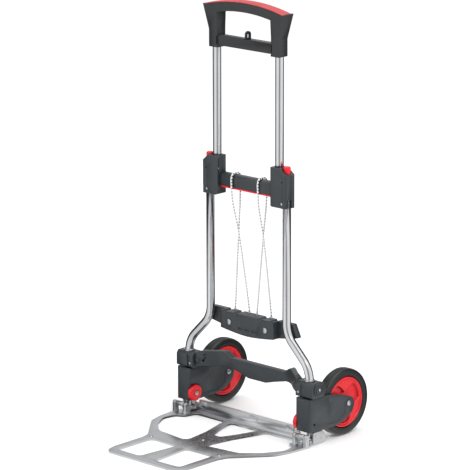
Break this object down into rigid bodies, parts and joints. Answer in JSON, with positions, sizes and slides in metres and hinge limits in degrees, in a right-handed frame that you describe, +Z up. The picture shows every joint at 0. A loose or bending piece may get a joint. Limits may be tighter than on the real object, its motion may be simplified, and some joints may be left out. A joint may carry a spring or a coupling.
{
  "type": "hand truck",
  "caption": "Folding aluminium hand truck with a telescopic handle, spoked red wheels on swinging forks, a windowed toe plate that folds up and elastic load cords.",
  "frame": {"origin": "on the floor under the middle of the bounding box, midway between the wheels; the tube plane is 92.5 mm behind it", "axes": "+Z up along the tubes, toe plate towards -Y, wheels towards +Y, +X to the right seen from the toe plate's side"},
  "size_m": [0.481, 0.599, 1.1],
  "materials": {
    "tube_aluminium": "bright drawn tube, polished and clear anodised",
    "plate_aluminium": "brushed and lightly scratched plate",
    "steel": "zinc plated, satin",
    "anthracite_plastic": "fine-grained moulded, anthracite",
    "black_plastic": "satin moulded, black",
    "red_plastic": "moulded, semi-gloss red",
    "grip_rubber": "soft matt red",
    "tyre_rubber": "matt black with fine tread lines",
    "cord_braid": "white braid with black flecks"
  },
  "bodies": {
    "root": {"lower_tube_left": "tube_aluminium", "lower_tube_right": "tube_aluminium", "foot_left": "plate_aluminium", "foot_right": "plate_aluminium", "clamp_screws": "steel", "button_spring_left": "steel", "button_spring_right": "steel", "cord_hooks": "steel", "anchor_rivets": "steel", "knuckle_rivets": "steel", "bow_bar_pins": "steel", "pivot_shaft_left": "steel", "pivot_shaft_right": "steel", "foot_screws": "steel", "hinge_pins": "steel", "clamp_left": "anthracite_plastic", "clamp_right": "anthracite_plastic", "clamp_cover_left": "anthracite_plastic", "clamp_cover_right": "anthracite_plastic", "upper_crossbar": "anthracite_plastic", "anchor_bar": "anthracite_plastic", "knuckle_left": "anthracite_plastic", "knuckle_right": "anthracite_plastic", "tube_rings": "anthracite_plastic", "clamp_bushes": "black_plastic", "crossbar_strip": "red_plastic", "bungee_cord_left": "cord_braid", "bungee_cord_right": "cord_braid"},
    "handle": {"upper_tube_left": "tube_aluminium", "upper_tube_right": "tube_aluminium", "tube_plugs": "black_plastic", "handle_frame": "anthracite_plastic", "grip_pad": "grip_rubber", "handle_hook": "black_plastic"},
    "button_left": {"release_button_left": "red_plastic"},
    "button_right": {"release_button_right": "red_plastic"},
    "plate": {"toe_plate": "plate_aluminium", "hinge_flange": "plate_aluminium", "flange_plates": "steel", "plate_rivets": "steel"},
    "bow": {"bow_bar": "anthracite_plastic"},
    "wheel_arm_left": {"fork_left": "anthracite_plastic", "fork_bushes_left": "black_plastic", "axle_left": "steel", "roller_pin_left": "steel"},
    "wheel_left": {"tyre_left": "tyre_rubber", "rim_left": "red_plastic", "wheel_bearings_left": "steel"},
    "guide_roller_left": {"roller_left": "red_plastic"},
    "wheel_arm_right": {"fork_right": "anthracite_plastic", "fork_bushes_right": "black_plastic", "axle_right": "steel", "roller_pin_right": "steel"},
    "wheel_right": {"tyre_right": "tyre_rubber", "rim_right": "red_plastic", "wheel_bearings_right": "steel"},
    "guide_roller_right": {"roller_right": "red_plastic"}
  },
  "joints": [
    {"name": "handle_slide", "type": "slide", "parent": "root", "child": "handle", "axis": [0, 0, 1], "range_m": [-0.266, 0]},
    {"name": "plate_fold", "type": "hinge", "parent": "root", "child": "plate", "pos_m": [0, 0.0595, 0.028], "axis": [-1, 0, 0], "range_deg": [0, 90]},
    {"name": "bow_bar_lift", "type": "hinge", "parent": "root", "child": "bow", "pos_m": [0, 0.0925, 0.147], "axis": [1, 0, 0], "range_deg": [0, 108]},
    {"name": "release_button_left_press", "type": "slide", "parent": "root", "child": "button_left", "axis": [0, 0, -1], "range_m": [0, 0.004], "stiffness_N_per_m": 1500, "springref_m": -0.001, "deforming": ["button_spring_left"]},
    {"name": "wheel_fold_left", "type": "hinge", "parent": "root", "child": "wheel_arm_left", "pos_m": [-0.208, 0.0925, 0.08], "axis": [0, 0, -1], "range_deg": [0, 90]},
    {"name": "wheel_spin_left", "type": "hinge", "parent": "wheel_arm_left", "child": "wheel_left", "pos_m": [-0.208, 0.2135, 0.086], "axis": [1, 0, 0], "continuous": true},
    {"name": "guide_roller_left_spin", "type": "hinge", "parent": "wheel_arm_left", "child": "guide_roller_left", "pos_m": [-0.182, 0.0845, 0.057], "axis": [1, 0, 0], "continuous": true},
    {"name": "release_button_right_press", "type": "slide", "parent": "root", "child": "button_right", "axis": [0, 0, -1], "range_m": [0, 0.004], "stiffness_N_per_m": 1500, "springref_m": -0.001, "deforming": ["button_spring_right"]},
    {"name": "wheel_fold_right", "type": "hinge", "parent": "root", "child": "wheel_arm_right", "pos_m": [0.208, 0.0925, 0.08], "axis": [0, 0, 1], "range_deg": [0, 90]},
    {"name": "wheel_spin_right", "type": "hinge", "parent": "wheel_arm_right", "child": "wheel_right", "pos_m": [0.208, 0.2135, 0.086], "axis": [1, 0, 0], "continuous": true},
    {"name": "guide_roller_right_spin", "type": "hinge", "parent": "wheel_arm_right", "child": "guide_roller_right", "pos_m": [0.182, 0.0845, 0.057], "axis": [1, 0, 0], "continuous": true}
  ],
  "couplings": [
    {"joint": "bow_bar_lift", "follows": "plate_fold", "ratio": 1.2},
    {"joint": "wheel_fold_left", "follows": "plate_fold", "ratio": 1},
    {"joint": "wheel_fold_right", "follows": "plate_fold", "ratio": 1}
  ]
}
